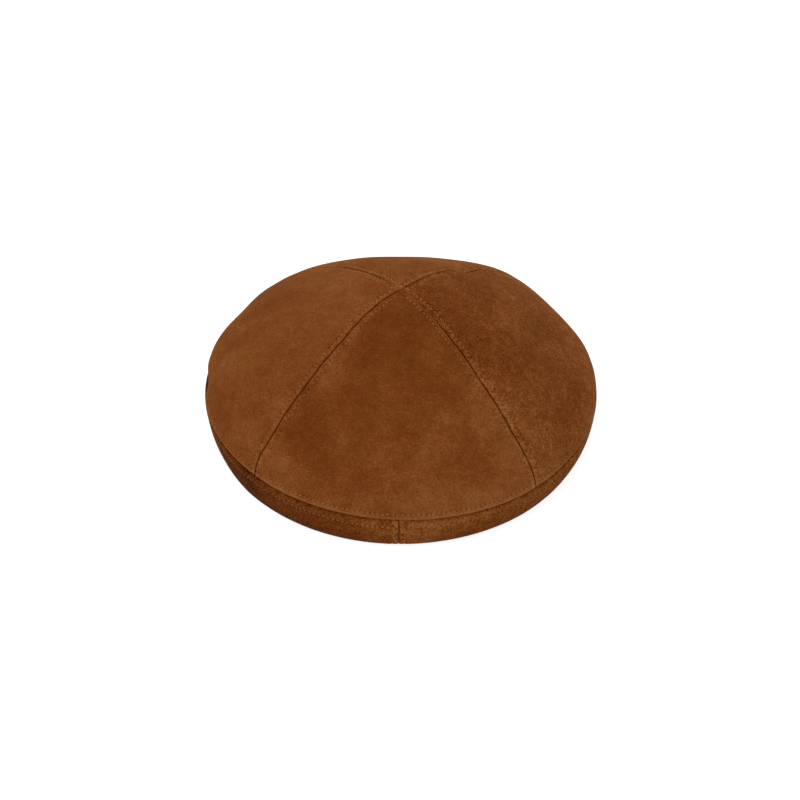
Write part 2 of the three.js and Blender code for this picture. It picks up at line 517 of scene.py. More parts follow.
@dataclass
class PanelSkin:
    """The outer skin of a panel between two seams.

    Attributes:
        meridian: The line down the panel's middle.
        first: The seam at its start.
        second: The seam at its end.
        profile: How the suede lies beside those seams.
        rim: How it lies beside the rim.
        slack: Depth of the soft unevenness of the suede, in mm.
    """

    meridian: Meridian
    first: Seam
    second: Seam
    profile: SeamProfile
    rim: RimProfile
    slack: float

    def rim_distance(self, run: np.ndarray) -> np.ndarray:
        """Return distances from the rim's edge, along the skin."""
        raise NotImplementedError

    def section(self, station: Station, turn: np.ndarray, across: np.ndarray, sunk: np.ndarray) -> Section:
        """Find points of the skin, sunk in by a depth, as seen in a section through the axis.

        Args:
            station: Places down the meridian.
            turn: Turns round the beret, in radians.
            across: Places across the panel, from -1 at its first seam to 1 at its second.
            sunk: How far to sink in, in mm.

        Returns:
            Distances from the axis and heights, in mm, and shares of the apex's shift.
        """
        raise NotImplementedError

    def span(self, station: Station) -> tuple[np.ndarray, np.ndarray]:
        """Find the turns that the panel spans.

        Args:
            station: Places down the meridian.

        Returns:
            The turn at the panel's middle and half the turn that it spans, in radians.
        """
        start = self.first.turn_at(station.reach, station.run)
        end = self.second.turn_at(station.reach, station.run)
        half = ((end - start) % (2 * np.pi)) / 2
        return start + half, half

    def half_width(self, run: np.ndarray) -> np.ndarray:
        """Return half the panel's width, in mm."""
        station = self.meridian.at(run)
        return station.reach * self.span(station)[1]

    def place(self, run: np.ndarray, side: np.ndarray, distance: np.ndarray, sink: np.ndarray) -> np.ndarray:
        """Find points on the skin.

        Args:
            run: Distances down the meridian, in mm.
            side: -1 where the distance is from the first seam, 1 where it is from the second.
            distance: Distances from that seam, in mm.
            sink: How far to sink in from the skin, in mm.

        Returns:
            The points, in mm, one to a row.
        """
        station = self.meridian.at(run)
        middle, half = self.span(station)
        width = np.maximum(station.reach * half, 1e-6)
        across = side * (1.0 - np.minimum(distance / width, 1.0))
        turn = middle + across * half
        clear = smooth_step(self.rim_distance(run), 0.0, RIM_CLOSURE)
        near_seam = self.profile.relief(distance) * smooth_step(width, *RELIEF_START) * clear
        rise = near_seam + self.row_relief(run) + self.unevenness(station, turn, distance)
        reach, height, shift = self.section(station, turn, across, sink * clear - rise)
        gap = self.profile.gap / 2 * np.minimum(1.0, width / WHOLE_GAP_WIDTH)
        gap_turn = np.arcsin(np.minimum(gap / np.maximum(reach, 1e-6), np.sin(half)))
        placed = turn - across * gap_turn
        x = APEX_SHIFT_RIGHT * shift + reach * np.sin(placed)
        y = APEX_SHIFT_BACK * shift - reach * np.cos(placed)
        return np.stack([x, y, height], axis=1)

    def row_relief(self, run: np.ndarray) -> np.ndarray:
        """Return the rise of the skin beside the rows of stitches that run round the beret."""
        return self.rim.relief(self.rim_distance(run))

    def unevenness(self, station: Station, turn: np.ndarray, distance: np.ndarray) -> np.ndarray:
        """Find the soft unevenness of the suede, which dies out at the seams and the rim.

        Args:
            station: Places down the meridian.
            turn: Turns round the beret, in radians.
            distance: Distances from the seam, in mm.

        Returns:
            The rise of the skin, in mm.
        """
        from_rim = self.rim_distance(station.run)
        free = smooth_step(distance, *SLACK_FROM_SEAM) * smooth_step(from_rim, *SLACK_FROM_RIM)
        spots = (station.reach * np.sin(turn), station.reach * np.cos(turn), station.drop)
        points = np.stack(spots, axis=1) / SLACK_WAVE
        waves = np.array([noise.noise(Vector(point)) for point in points])
        return self.slack * waves * free


class CrownSkin(PanelSkin):
    """The skin of a crown gore, from the apex to the rim."""

    def rim_distance(self, run: np.ndarray) -> np.ndarray:
        """Return distances from the rim's edge, along the skin."""
        return self.meridian.length - run

    def section(self, station: Station, turn: np.ndarray, across: np.ndarray, sunk: np.ndarray) -> Section:
        """Find points of the skin, sunk in by a depth, as seen in a section through the axis.

        Args:
            station: Places down the meridian.
            turn: Turns round the beret, in radians.
            across: Places across the panel, from -1 at its first seam to 1 at its second.
            sunk: How far to sink in, in mm.

        Returns:
            Distances from the axis and heights, in mm, and shares of the apex's shift.
        """
        share = station.reach / CROWN_RADIUS
        on_seam = -np.cos(np.pi * across)
        reach = station.reach * (1.0 + SQUARENESS * np.sin(np.pi * share) * on_seam)
        dent = dent_depth(DENTS + NICKS, turn, station.reach)
        dent_slope = np.minimum(station.slope, np.pi / 2)
        reach = reach - sunk * np.sin(station.slope) - dent * np.sin(dent_slope)
        lift = rim_lift(turn) * np.minimum(share / BAND_START.end_share, 1.0) ** 2
        height = RIM_HEIGHT - RIM_PRESS / 2 + CROWN_RISE - station.drop + lift
        sag = np.cos(station.slope) * (1.0 - smooth_step(station.slope, *SAG_SLOPES))
        height = height - sunk * np.cos(station.slope) - dent * sag
        return np.maximum(reach, 0.0), height, 1.0 - share


class UnderSkin(PanelSkin):
    """The skin of half the under panel, from the rim to the inner edge of the hem."""

    def row_relief(self, run: np.ndarray) -> np.ndarray:
        """Return the rise of the skin beside the rows of stitches that run round the beret."""
        return super().row_relief(run) - HEM_VALLEY * bell(run, HEM_STITCH_RUN, HEM_VALLEY_WIDTH)

    def unevenness(self, station: Station, turn: np.ndarray, distance: np.ndarray) -> np.ndarray:
        """Return the soft unevenness of the suede, which is only on the band."""
        on_band = 1.0 - smooth_step(station.slope, *SLACK_SLOPES)
        return super().unevenness(station, turn, distance) * on_band

    def rim_distance(self, run: np.ndarray) -> np.ndarray:
        """Return distances from the rim's edge, along the skin."""
        return run

    def section(self, station: Station, turn: np.ndarray, across: np.ndarray, sunk: np.ndarray) -> Section:
        """Find points of the skin, sunk in by a depth, as seen in a section through the axis.

        Args:
            station: Places down the meridian.
            turn: Turns round the beret, in radians.
            across: Places across the panel, from -1 at its first seam to 1 at its second; not used here.
            sunk: How far to sink in, in mm.

        Returns:
            Distances from the axis and heights, in mm, and shares of the apex's shift.
        """
        stretch = (RIM_HEIGHT + RIM_PRESS / 2 + rim_lift(turn)) / RIM_HEIGHT
        height = (RIM_HEIGHT - station.drop) * stretch
        rim_reach = np.full_like(turn, BAND_START.end_share * CROWN_RADIUS)
        dent = dent_depth(DENTS, turn, rim_reach) * np.clip(1.0 - station.drop / RIM_HEIGHT, 0.0, 1.0)
        dent += dent_depth(NICKS, turn, rim_reach) * np.clip(1.0 - station.drop / LEDGE_DROP, 0.0, 1.0)
        dent = np.where(station.slope < math.pi, dent, 0.0)
        return (
            station.reach - sunk * np.sin(station.slope) - dent,
            np.maximum(height - sunk * np.cos(station.slope), 0.0),
            np.zeros_like(turn),
        )


@dataclass(frozen=True)
class Blots:
    """The noise that a finish is mottled with.

    Attributes:
        size: Size of its largest blots, in mm.
        detail: How many finer layers it has.
        roughness: How strong those are.
    """

    size: float
    detail: float
    roughness: float


# Blots of the suede, of its flesh side and of the thread
CLOUD = Blots(34.0, 2.0, 0.5)
MOTTLE = Blots(6.0, 3.0, 0.6)
NAP = Blots(1.3, 3.0, 0.65)
FLECKS = Blots(5.5, 2.0, 0.7)
HUES = Blots(22.0, 3.0, 0.6)
FLESH = Blots(12.0, 4.0, 0.6)
FIBRES = Blots(1.4, 4.0, 0.7)
FADING = Blots(9.0, 2.0, 0.5)

# Shades of the suede's four colours, from its darkest nap to its lightest, on rubbed ridges and under painted
# highlights, and that of most of it
SHADES = (-0.3, 0.0, 0.5, 1.0)
BODY_SHADE = 0.5

# Ranges of noise that flecks and tufts set in over, and the setting at which a hue stays as it is
FLECK_EDGE = (0.1, 0.5)
TUFT_EDGE = (-0.6, 0.6)
SAME_HUE = 0.5

# Marks of wear and painted light: middle and reach of the ridge beside a seam, in mm, and of the one beside
# the rim, as shares of its stitches' distance, both lighter from wear and from a painted highlight; how much
# the first is lightened against the second; edges of the painted shade in a groove and in a needle hole, in
# mm; and how dark that shade in the holes is
SEAM_RIDGE = (2.0, 2.6)
RIM_RIDGE = (0.62, 0.42)
SEAM_WEAR_AND_HIGHLIGHT = 0.6
GROOVE_EDGE = (0.22, 0.8)
HOLE_EDGE = (0.25, 0.75)
SEAM_HOLE, RIM_HOLE = 0.24, 0.34

# Heights over which thread lightens towards the apex, and places behind the front over which it darkens, in
# metres
APEX_HEIGHTS = (0.088, 0.106)
FRONT_PLACES = (-0.132, -0.105)


class Graph:
    """A material's node tree, with short ways to add and join nodes."""

    def __init__(self, name: str) -> None:
        """Start a material with only an output and a shader.

        Args:
            name: The material's name.
        """
        self.material = bpy.data.materials.new(name)
        self.material.use_nodes = True
        self.tree = self.material.node_tree
        self.shader = self.tree.nodes["Principled BSDF"]

    def node(self, kind: str, **values: object) -> bpy.types.Node:
        """Add a node and set its properties, or its inputs where they go by that name.

        Args:
            kind: The node's type.
            values: Properties or inputs, with spaces as underscores.

        Returns:
            The node.
        """
        made = self.tree.nodes.new(kind)
        for key, value in values.items():
            if hasattr(made, key):
                setattr(made, key, value)
            else:
                self.feed(made.inputs[key.replace("_", " ")], value)
        return made

    def feed(self, socket: bpy.types.NodeSocket, value: object) -> None:
        """Link a socket into an input, or set its value.

        Args:
            socket: The input.
            value: The socket to link, or the value.
        """
        if isinstance(value, bpy.types.NodeSocket):
            self.tree.links.new(value, socket)
        else:
            socket.default_value = value

    def math(self, operation: str, first: object, second: object = 0.0) -> bpy.types.NodeSocket:
        """Add a maths node.

        Args:
            operation: What it works out.
            first: Its first value.
            second: Its second value.

        Returns:
            Its result.
        """
        made = self.node("ShaderNodeMath", operation=operation)
        self.feed(made.inputs[0], first)
        self.feed(made.inputs[1], second)
        return made.outputs[0]

    def times(self, first: object, second: object) -> bpy.types.NodeSocket:
        """Multiply two values and return the product."""
        return self.math("MULTIPLY", first, second)

    def total(self, *terms: object) -> bpy.types.NodeSocket:
        """Add values together.

        Args:
            terms: The values.

        Returns:
            Their sum.
        """
        result = terms[0]
        for term in terms[1:]:
            result = self.math("ADD", result, term)
        return result

    def attribute(self, name: str) -> bpy.types.NodeSocket:
        """Return a number stored on the mesh."""
        return self.node("ShaderNodeAttribute", attribute_name=name).outputs["Fac"]

    def objects(self) -> bpy.types.NodeSocket:
        """Return the place on the object, in metres."""
        return self.node("ShaderNodeTexCoord").outputs["Object"]

    def noise(self, vector: object, blots: Blots) -> bpy.types.NodeSocket:
        """Add noise about 0, from -1 to 1.

        Args:
            vector: Where to read it, in metres.
            blots: Its sizes and strengths.

        Returns:
            The noise.
        """
        scale = 1.0 / (blots.size * MM)
        made = self.node("ShaderNodeTexNoise", Scale=scale, Detail=blots.detail, Roughness=blots.roughness)
        self.feed(made.inputs["Vector"], vector)
        return self.times(self.math("SUBTRACT", made.outputs["Fac"], 0.5), 2.0)

    def ramp(self, value: object, low: float, high: float, start: float, end: float) -> bpy.types.NodeSocket:
        """Add a smooth step.

        Args:
            value: The value that it follows.
            low: The value where it starts.
            high: The value where it ends.
            start: Its result up to low.
            end: Its result from high.

        Returns:
            Its result.
        """
        made = self.node("ShaderNodeMapRange", interpolation_type="SMOOTHSTEP")
        settings = {"Value": value, "From Min": low, "From Max": high, "To Min": start, "To Max": end}
        for key, setting in settings.items():
            self.feed(made.inputs[key], setting)
        return made.outputs["Result"]

    def bump(self, height: object, strength: float, depth: float) -> bpy.types.NodeSocket:
        """Return the normal of a surface with a fine relief of a depth in mm."""
        made = self.node("ShaderNodeBump", Strength=strength, Distance=depth * MM, Height=height)
        return made.outputs["Normal"]

    def surface(self, **values: object) -> None:
        """Set inputs of the shader, with spaces as underscores in their names."""
        for key, value in values.items():
            self.feed(self.shader.inputs[key.replace("_", " ")], value)

    def colours(self, value: object, stops: dict[float, Rgb]) -> bpy.types.NodeSocket:
        """Return a colour that changes with a value.

        Args:
            value: The value.
            stops: Colours at values.

        Returns:
            The colour.
        """
        low, high = min(stops), max(stops)
        share = self.math("DIVIDE", self.math("SUBTRACT", value, low), high - low)
        made = self.node("ShaderNodeValToRGB", Fac=share)
        elements = made.color_ramp.elements
        elements[0].color = (*stops[low], 1.0)
        elements[1].color = (*stops[high], 1.0)
        for place, colour in stops.items():
            if low < place < high:
                elements.new((place - low) / (high - low)).color = (*colour, 1.0)
        return made.outputs["Color"]

    def near(self, value: object, centre: float, width: float) -> bpy.types.NodeSocket:
        """Return 1 where a value is at a centre, falling to 0 at a width from it."""
        away = self.math("ABSOLUTE", self.math("SUBTRACT", value, centre))
        return self.ramp(away, 0.0, width, 1.0, 0.0)


@dataclass(frozen=True)
class SuedeFinish:
    """Napped suede, with its mottling, ridges lighter from wear and a painted highlight, and painted shade in
    its seams and needle holes.

    Attributes:
        name: The material's name.
        deepest: Colour of the darkest nap.
        deep: Colour of dark nap.
        body: Colour of most of it.
        rubbed: Colour of its lightest nap, on rubbed ridges and under painted highlights.
        cloud: Strength of the large soft blots.
        mottle: Strength of the small blots.
        nap: Strength of the single tufts.
        sheen: Strength of the sheen of the nap.
        wear_and_highlight: How much lighter it is on the ridges beside seams and the rim, partly from wear
            and partly a painted highlight on the puffed edges.
        groove: How much darker it is where it turns into a seam: painted shade in the groove.
        seam_offset: Distance of the stitches from a seam, in mm.
        rim_offset: Distance of the stitches from the rim's edge, in mm.
        fleck: How much darker the flecks of a coarse hide are.
        nap_height: Share of the tufts in its relief.
        mottle_height: Share of the small blots in it.
        relief: Strength of its relief.
        relief_depth: Depth of its relief, in mm.
        hue_sway: How far its hue sways.
        roughness: Roughness between its tufts and on them.
        gloss: Strength of its gloss.
        sheen_roughness: Roughness of the sheen.
        sheen_tint: Colour of the sheen.
    """

    name: str
    deepest: Rgb
    deep: Rgb
    body: Rgb
    rubbed: Rgb
    cloud: float
    mottle: float
    nap: float
    sheen: float
    wear_and_highlight: float
    groove: float
    seam_offset: float
    rim_offset: float
    fleck: float = 0.20
    nap_height: float = 0.6
    mottle_height: float = 0.8
    relief: float = 0.35
    relief_depth: float = 0.35
    hue_sway: float = 0.008
    roughness: tuple[float, float] = (0.98, 0.86)
    gloss: float = 0.01
    sheen_roughness: float = 0.55
    sheen_tint: Rgb = (0.70, 0.36, 0.13)

    def material(self) -> bpy.types.Material:
        """Build the material.

        Returns:
            The material, which reads the panel's own attributes and object coordinates.
        """
        graph = Graph(self.name)
        where = graph.objects()
        cloud, mottle, nap = (graph.noise(where, blots) for blots in (CLOUD, MOTTLE, NAP))
        strength = graph.attribute("grain")
        grain = graph.total(graph.times(mottle, self.mottle), graph.times(nap, self.nap))
        fleck = graph.ramp(graph.noise(where, FLECKS), *FLECK_EDGE, 0.0, -self.fleck)
        shade = graph.total(
            # The panel's tone, which holds painted light and shade
            graph.attribute("tone"),
            graph.times(cloud, graph.times(graph.attribute("cloud"), self.cloud)),
            graph.times(grain, strength),
            graph.times(fleck, graph.math("SUBTRACT", strength, 1.0)),
            self.marks(graph),
        )
        colour = graph.colours(shade, dict(zip(SHADES, (self.deepest, self.deep, self.body, self.rubbed))))
        hue = graph.math("MULTIPLY_ADD", graph.noise(where, HUES), self.hue_sway)
        graph.feed(hue.node.inputs[2], SAME_HUE)
        tinted = graph.node("ShaderNodeHueSaturation", Hue=hue, Color=colour)
        height = graph.total(graph.times(nap, self.nap_height), graph.times(mottle, self.mottle_height))
        graph.surface(
            Base_Color=tinted.outputs["Color"],
            Roughness=graph.ramp(nap, *TUFT_EDGE, *self.roughness),
            Normal=graph.bump(height, self.relief, self.relief_depth),
            Specular_IOR_Level=self.gloss,
            Sheen_Weight=self.sheen,
            Sheen_Roughness=self.sheen_roughness,
            Sheen_Tint=(*self.sheen_tint, 1.0),
        )
        return graph.material

    def marks(self, graph: Graph) -> bpy.types.NodeSocket:
        """Work out the shade with wear and painted light: ridges lighter from wear and a painted highlight,
        painted shade in seams and needle holes.

        Args:
            graph: The material.

        Returns:
            The shade.
        """
        seam = graph.attribute("seam_distance")
        rim = graph.attribute("rim_distance")
        # Ridges beside seams and the rim: lighter from wear and from a painted highlight on the puffed edges
        seam_ridge = graph.near(seam, *SEAM_RIDGE)
        rim_ridge = graph.near(rim, *(share * self.rim_offset for share in RIM_RIDGE))
        ridge = graph.total(graph.times(seam_ridge, SEAM_WEAR_AND_HIGHLIGHT * self.wear_and_highlight), graph.times(rim_ridge, self.wear_and_highlight))
        # Painted shade in the seam's groove, where it turns down
        groove = graph.times(graph.ramp(seam, *GROOVE_EDGE, -self.groove, 0.0), graph.attribute("seam_open"))
        # Painted shade in the needle holes of the seam rows and rim rows
        seam_holes = self.holes(graph, graph.attribute("seam_stitch"), seam, self.seam_offset)
        rim_holes = self.holes(graph, graph.attribute("rim_stitch"), rim, self.rim_offset)
        holes = graph.math("MAXIMUM", graph.times(seam_holes, SEAM_HOLE), graph.times(rim_holes, RIM_HOLE))
        return graph.math("SUBTRACT", graph.total(BODY_SHADE, ridge, groove), holes)

    @staticmethod
    def holes(graph: Graph, count: object, distance: object, offset: float) -> bpy.types.NodeSocket:
        """Return 1 in the needle holes of a row of stitches, where their shade is painted.

        Args:
            graph: The material.
            count: Stitches counted along the row, whole at the holes.
            distance: Distance from the seam that the row follows, in mm.
            offset: Distance of the row from that seam, in mm.

        Returns:
            The mask.
        """
        along = graph.times(graph.math("PINGPONG", count, 0.5), STITCH_PITCH)
        aside = graph.math("SUBTRACT", distance, offset)
        apart = graph.math("SQRT", graph.total(graph.math("POWER", along, 2.0), graph.times(aside, aside)))
        return graph.ramp(apart, *HOLE_EDGE, 1.0, 0.0)


@dataclass(frozen=True)
class FleshFinish:
    """The flesh side of the suede, inside the beret.

    Attributes:
        name: The material's name.
        dark: Colour of the hollows between its fibres.
        light: Colour of the fibres.
        blots: Strength of its blots.
        fibres: Strength of its fibres.
        relief: Strength of its relief.
        relief_depth: Depth of its relief, in mm.
        roughness: Its roughness.
        gloss: Strength of its gloss.
        sheen: Strength of its sheen.
    """

    name: str
    dark: Rgb
    light: Rgb
    blots: float = 0.25
    fibres: float = 0.3
    relief: float = 0.5
    relief_depth: float = 0.4
    roughness: float = 0.97
    gloss: float = 0.1
    sheen: float = 0.2

    def material(self) -> bpy.types.Material:
        """Build the material.

        Returns:
            The material, which reads object coordinates.
        """
        graph = Graph(self.name)
        where = graph.objects()
        blots, fibres = graph.noise(where, FLESH), graph.noise(where, FIBRES)
        shade = graph.total(BODY_SHADE, graph.times(blots, self.blots), graph.times(fibres, self.fibres))
        graph.surface(
            Base_Color=graph.colours(shade, {0.0: self.dark, 1.0: self.light}),
            Normal=graph.bump(fibres, self.relief, self.relief_depth),
            Roughness=self.roughness,
            Specular_IOR_Level=self.gloss,
            Sheen_Weight=self.sheen,
        )
        return graph.material


@dataclass(frozen=True)
class ThreadFinish:
    """Twisted sewing thread.

    Attributes:
        name: The material's name.
        dark: Colour between its plies.
        light: Colour of its plies.
        apex: How much lighter it is close to the apex.
        front: How much lighter it is at the front than at the sides.
        twist: How close its plies are.
        sway: How uneven its plies are.
        fade: Strength of its faded lengths.
        relief: Strength of its relief.
        relief_depth: Depth of its relief, in mm.
        roughness: Its roughness.
        gloss: Strength of its gloss.
    """

    name: str
    dark: Rgb
    light: Rgb
    apex: float = 0.0
    front: float = 0.0
    twist: float = 2.2
    sway: float = 0.4
    fade: float = 0.35
    relief: float = 0.4
    relief_depth: float = 0.1
    roughness: float = 0.8
    gloss: float = 0.03

    def material(self) -> bpy.types.Material:
        """Build the material.

        Returns:
            The material, which reads UV and object coordinates.
        """
        graph = Graph(self.name)
        plies = graph.node(
            "ShaderNodeTexWave",
            bands_direction="DIAGONAL",
            Vector=graph.node("ShaderNodeTexCoord").outputs["UV"],
            Scale=self.twist,
            Distortion=self.sway,
        )
        fade = graph.noise(graph.objects(), FADING)
        place = graph.node("ShaderNodeSeparateXYZ", Vector=graph.objects())
        near_apex = graph.ramp(place.outputs["Z"], *APEX_HEIGHTS, 0.0, self.apex)
        at_front = graph.ramp(place.outputs["Y"], *FRONT_PLACES, 0.0, -self.front)
        shade = graph.total(plies.outputs["Fac"], graph.times(fade, self.fade), near_apex, at_front)
        graph.surface(
            Base_Color=graph.colours(shade, {0.0: self.dark, 1.0: self.light}),
            Normal=graph.bump(plies.outputs["Fac"], self.relief, self.relief_depth),
            Roughness=self.roughness,
            Specular_IOR_Level=self.gloss,
        )
        return graph.material


@dataclass(frozen=True)
class Tone:
    """The grain of a panel's piece of hide and the shade added to it, partly the hide's own and partly
    painted light and shade.

    Attributes:
        top: Shade added at its upper end.
        foot: Shade added at its lower end.
        grain: Strength of its grain.
        cloud: Strength of its large soft blots.
        patches: Patches that are lighter, or darker where their strength is below 0.
    """

    top: float
    foot: float
    grain: float
    cloud: float
    patches: tuple[Spot, ...]

    def shade(self, along: np.ndarray, turn: np.ndarray, reach: np.ndarray) -> np.ndarray:
        """Return the shade added at places on the panel.

        Args:
            along: Shares of the way down the panel.
            turn: Turns round the beret, in radians.
            reach: Distances from the axis, in mm.

        Returns:
            The shade.
        """
        return self.top + (self.foot - self.top) * along + sum(spot.at(turn, reach) for spot in self.patches)


@dataclass
class Panel:
    """One sewn panel of suede.

    Attributes:
        node: The solid that it stands for, whose name it shares.
        slot: The record's material slot; not used.
        skin: Its outer skin.
        tone: The grain of its hide and the shade added to it, partly the hide's own and partly painted light
            and shade.
        columns: Columns of faces across it.
        fine_edge: Width near a seam that its columns crowd into, in mm.
    """

    node: str
    slot: str
    skin: PanelSkin
    tone: Tone
    columns: int
    fine_edge: float

    def build(self, finish: bpy.types.Material, lining: bpy.types.Material) -> bpy.types.Object:
        """Build the panel as a closed shell and put it in the node's place.

        Args:
            finish: Material of the outer side.
            lining: Material of the inner side.

        Returns:
            The panel.
        """
        mesh = bpy.data.meshes.new(f"suede_{self.node}")
        grid = bmesh.new()
        bmesh.ops.create_grid(grid, x_segments=self.columns, y_segments=self.skin.meridian.rows, size=1.0)
        self.shape(grid)
        bmesh.ops.remove_doubles(grid, verts=grid.verts, dist=1e-6)
        for face in grid.faces:
            face.smooth = True
        grid.to_mesh(mesh)
        grid.free()
        mesh.materials.append(finish)
        mesh.materials.append(lining)
        panel = bpy.data.objects.new(mesh.name, mesh)
        bpy.context.collection.objects.link(panel)
        wall = panel.modifiers.new("wall", "SOLIDIFY")
        wall.thickness = WALL * MM
        wall.offset = -1.0
        wall.use_even_offset = False
        wall.material_offset = 1
        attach(panel, BODY)
        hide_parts(self.node)
        return panel

    def shape(self, grid: bmesh.types.BMesh) -> None:
        """Move a flat grid onto the skin and store what its material reads.

        Args:
            grid: The grid, from -1 to 1 both ways.
        """
        skin = self.skin
        spots = np.array([vert.co for vert in grid.verts])
        rows = np.rint((1.0 - spots[:, 1]) / 2 * skin.meridian.rows).astype(int)
        run = np.array(skin.meridian.run)[rows]
        side = np.where(spots[:, 0] < 0, -1.0, 1.0)
        distance, sink = self.edge_roll(run, side, 1.0 - np.abs(spots[:, 0]))
        points = skin.place(run, side, distance, sink) * MM
        station = skin.meridian.at(run)
        turn = np.arctan2(points[:, 0], -points[:, 1])
        values = {
            "seam_distance": distance,
            "seam_open": self.seam_open(run, side),
            "seam_stitch": run / STITCH_PITCH,
            "rim_distance": skin.rim_distance(run),
            "rim_stitch": rim_stitch_count() * (turn % (2 * np.pi)) / (2 * np.pi),
            # Painted light and shade, with the hide's own tone, per panel and in patches
            "tone": self.tone.shade(run / skin.meridian.length, turn, station.reach),
            "cloud": np.full_like(run, self.tone.cloud),
            "grain": self.tone.grain * (1.0 + COARSENING * bell(distance, *COARSE_STRIP)),
        }
        layers = {name: grid.verts.layers.float.new(name) for name in values}
        for index, vert in enumerate(grid.verts):
            vert.co = points[index]
            for name, layer in layers.items():
                vert[layer] = values[name][index]

    def seam_open(self, run: np.ndarray, side: np.ndarray) -> np.ndarray:
        """Return how far open the panel's seams are, from 0 where they are closed near the apex to 1."""
        closed = np.where(side < 0, self.skin.first.closed_top, self.skin.second.closed_top)
        return np.where(closed > 0, smooth_step(run, OPENING_START * closed, closed + 1e-6), 1.0)

    def edge_roll(
        self, run: np.ndarray, side: np.ndarray, inward: np.ndarray
    ) -> tuple[np.ndarray, np.ndarray]:
        """Turn the panel's edges down into their seams.

        Args:
            run: Distances down the meridian, in mm.
            side: -1 for the first seam, 1 for the second.
            inward: Places from 0 at the edge to 1 in the middle.

        Returns:
            Distances from the seam and depths below the skin, in mm.
        """
        profile = self.skin.profile
        half_width = self.skin.half_width(run)
        width = np.minimum(profile.roll_width, half_width / 2)
        opened = CLOSED_ROLL + (1.0 - CLOSED_ROLL) * self.seam_open(run, side)
        depth = profile.roll_depth * width / profile.roll_width * opened
        roll = np.pi / 4 * (width + depth) + 1e-9
        skin_run = half_width - width + roll
        fine = np.minimum(self.fine_edge, skin_run)
        spent = fine * inward + (skin_run - fine) * inward**2
        angle = np.minimum(spent / roll, 1.0) * np.pi / 2
        distance = np.where(spent < roll, width * (1.0 - np.cos(angle)), width + spent - roll)
        return distance, depth * (1.0 - np.sin(angle))


def rim_stitch_count() -> int:
    """Return the number of stitches in a row round the rim."""
    return round(2 * math.pi * CROWN_RADIUS / STITCH_PITCH)


@dataclass
class Crown:
    """The four gores of the crown.

    Attributes:
        names: The gores in order, each after its seam.
        tones: The grain of their hides and the shades added to them, partly the hides' own and partly painted
            light and shade.
        columns: Columns of faces across a gore.
        fine_edge: Width near a seam that they crowd into, in mm.
        slack: Depth of the suede's unevenness, in mm.
    """

    names: tuple[str, ...] = ("front", "right", "back", "left")
    # Top and foot shades are partly painted light and shade: the front and right darker at the top and
    # lighter at the foot, the back lighter, for how the light falls on them
    tones: tuple[Tone, ...] = (
        Tone(-0.10, 0.09, 1.0, 1.0, FRONT_PATCHES),
        Tone(-0.06, 0.03, 1.7, 0.7, RIGHT_PATCHES),
        Tone(0.08, 0.05, 1.2, 0.8, BACK_PATCHES),
        Tone(0.03, 0.02, 0.95, 0.6, LEFT_PATCHES),
    )
    columns: int = 170
    fine_edge: float = 26.0
    slack: float = 0.7

    def skins(self) -> list[CrownSkin]:
        """Return the gores' skins in order."""
        pairs = zip(CROWN_SEAMS, CROWN_SEAMS[1:] + CROWN_SEAMS[:1])
        return [CrownSkin(CROWN_MERIDIAN, a, b, CROWN_PROFILE, CROWN_RIM, self.slack) for a, b in pairs]

    def build(self, finish: bpy.types.Material, lining: bpy.types.Material) -> list[bpy.types.Object]:
        """Build the gores and return them."""
        panels = [
            Panel(f"crown_panel_{name}", "crown_suede", skin, tone, self.columns, self.fine_edge)
            for name, skin, tone in zip(self.names, self.skins(), self.tones)
        ]
        return [panel.build(finish, lining) for panel in panels]


@dataclass
class UnderPanel:
    """The two halves of the under panel.

    Attributes:
        names: The halves in order, each after its seam.
        tones: The grain of their hides and the shades added to them, which are painted light and shade on the
            band.
        columns: Columns of faces across a half.
        fine_edge: Width near a seam that they crowd into, in mm.
        slack: Depth of the suede's unevenness, in mm.
    """

    names: tuple[str, ...] = ("right", "left")
    tones: tuple[Tone, ...] = (Tone(0.0, 0.0, 1.8, 1.0, UNDER_PAINTED_LIGHT_AND_SHADE),) * 2
    columns: int = 300
    fine_edge: float = 30.0
    slack: float = 0.5

    def skins(self) -> list[UnderSkin]:
        """Return the halves' skins in order."""
        pairs = zip(UNDER_SEAMS, UNDER_SEAMS[1:] + UNDER_SEAMS[:1])
        return [UnderSkin(UNDER_MERIDIAN, a, b, UNDER_PROFILE, UNDER_RIM, self.slack) for a, b in pairs]

    def build(self, finish: bpy.types.Material, lining: bpy.types.Material) -> list[bpy.types.Object]:
        """Build the halves and return them."""
        panels = [
            Panel(f"under_panel_{name}", "under_suede", skin, tone, self.columns, self.fine_edge)
            for name, skin, tone in zip(self.names, self.skins(), self.tones)
        ]
        return [panel.build(finish, lining) for panel in panels]


@dataclass
class StitchRow:
    """A row of stitches on a panel's skin.

    Attributes:
        skin: The skin that it is sewn through.
        run: Distances down the meridian of the stitches' middles, in mm.
        side: The seam that the row lies beside.
        distance: Distances from that seam, in mm.
    """

    skin: PanelSkin
    run: np.ndarray
    side: Side
    distance: np.ndarray

    def point(self, run_step: float, distance_step: float) -> np.ndarray:
        """Return the stitches' middles, moved on along the skin by steps in mm."""
        side, sink = np.full_like(self.run, self.side.value), np.zeros_like(self.run)
        return self.skin.place(self.run + run_step, side, self.distance + distance_step, sink)


